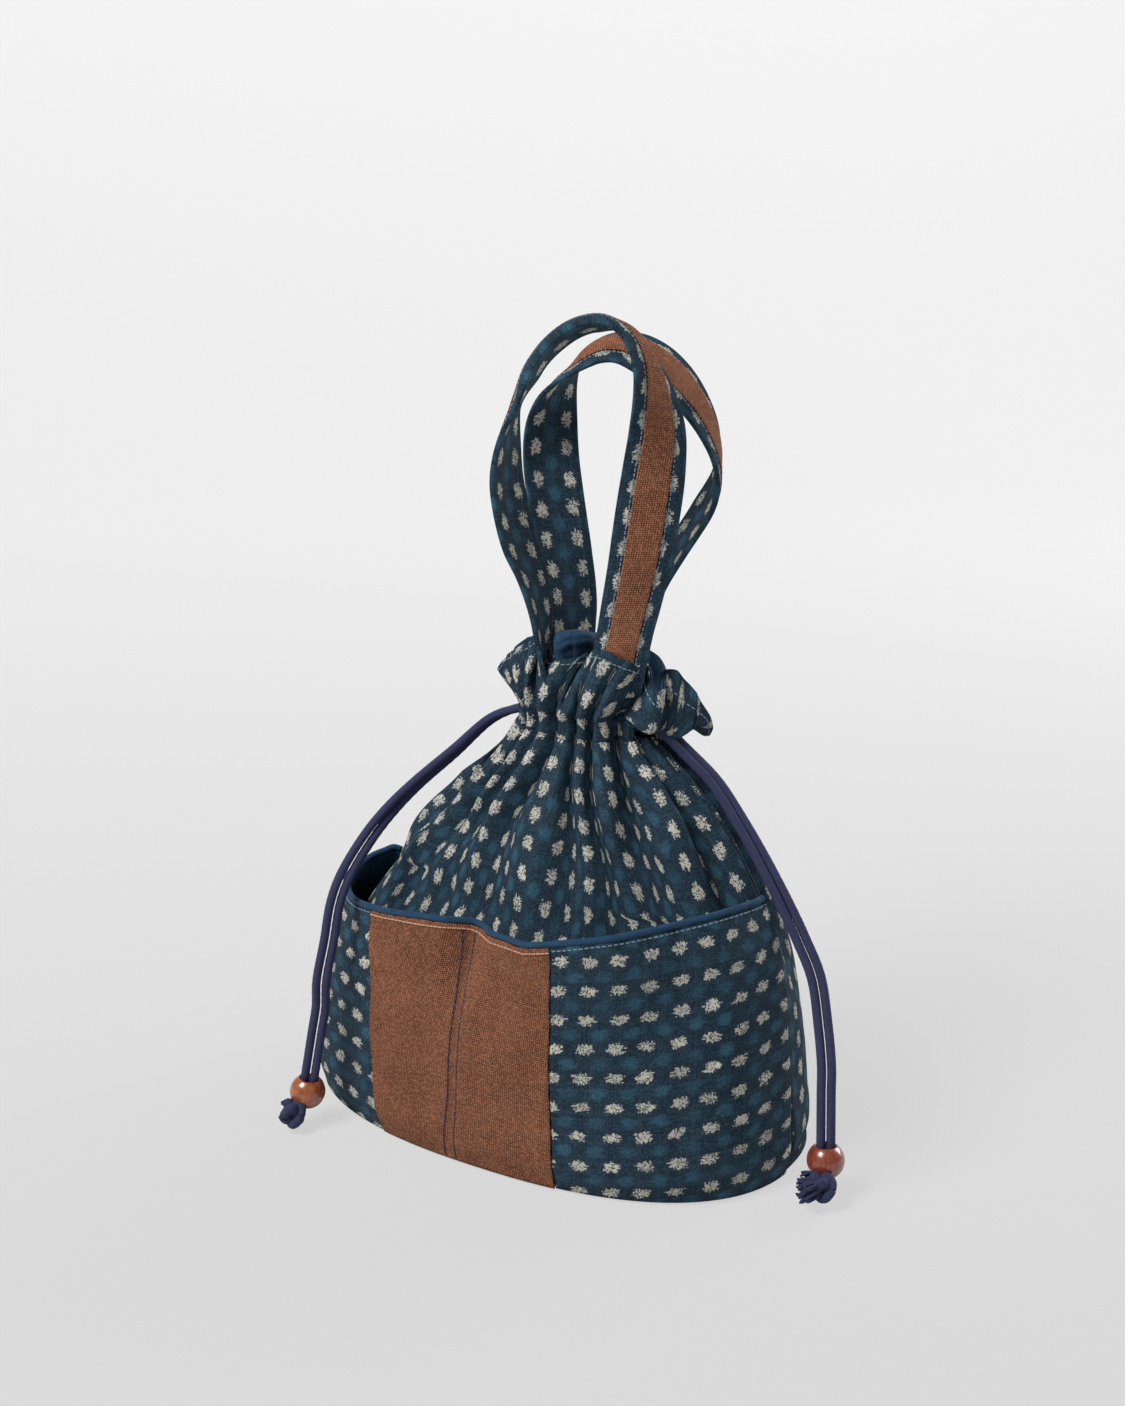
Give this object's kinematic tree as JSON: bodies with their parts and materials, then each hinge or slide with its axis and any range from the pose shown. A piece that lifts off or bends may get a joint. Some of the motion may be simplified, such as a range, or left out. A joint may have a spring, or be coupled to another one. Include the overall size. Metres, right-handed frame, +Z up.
{
  "type": "drawstring pouch",
  "caption": "Small cloth pouch with a flat oval base, gathered neck, two bead-stopped drawcords, two strap handles and a divided front pocket",
  "frame": {"origin": "middle of the flat base, on the floor", "axes": "+Z up, -Y is the pocket side, +X to the right when the pocket faces the viewer"},
  "size_m": [0.2939, 0.1773, 0.3895],
  "materials": {
    "kasuri_cloth": "dark indigo cotton with cream woven marks",
    "plain_cloth": "plain blue cotton",
    "brown_canvas": "coarse brown basket weave",
    "braided_cord": "matte navy braided cord",
    "left_bead_wood": "polished stained wood",
    "right_bead_wood": "polished redder stained wood"
  },
  "bodies": {
    "pouch": {"body_front_panel": "kasuri_cloth", "body_back_panel": "kasuri_cloth", "lining": "plain_cloth", "base_panel": "kasuri_cloth", "pocket_left_panel": "kasuri_cloth", "pocket_centre_panel": "brown_canvas", "pocket_right_panel": "kasuri_cloth", "pocket_lining": "plain_cloth", "pocket_piping": "plain_cloth", "handle_front_strap": "kasuri_cloth", "handle_front_strip": "brown_canvas", "handle_back_strap": "kasuri_cloth", "handle_back_strip": "brown_canvas", "cord_left": "braided_cord", "knot_left": "braided_cord", "cord_right": "braided_cord", "knot_right": "braided_cord"},
    "left_bead": {"bead_left": "left_bead_wood"},
    "right_bead": {"bead_right": "right_bead_wood"}
  },
  "joints": [
    {"name": "left_bead_slide", "type": "slide", "parent": "pouch", "child": "left_bead", "axis": [0.1499, 0.09, 0.9846], "range_m": [0, 0.03]},
    {"name": "right_bead_slide", "type": "slide", "parent": "pouch", "child": "right_bead", "axis": [-0.0801, 0.1002, 0.9917], "range_m": [0, 0.03]}
  ]
}
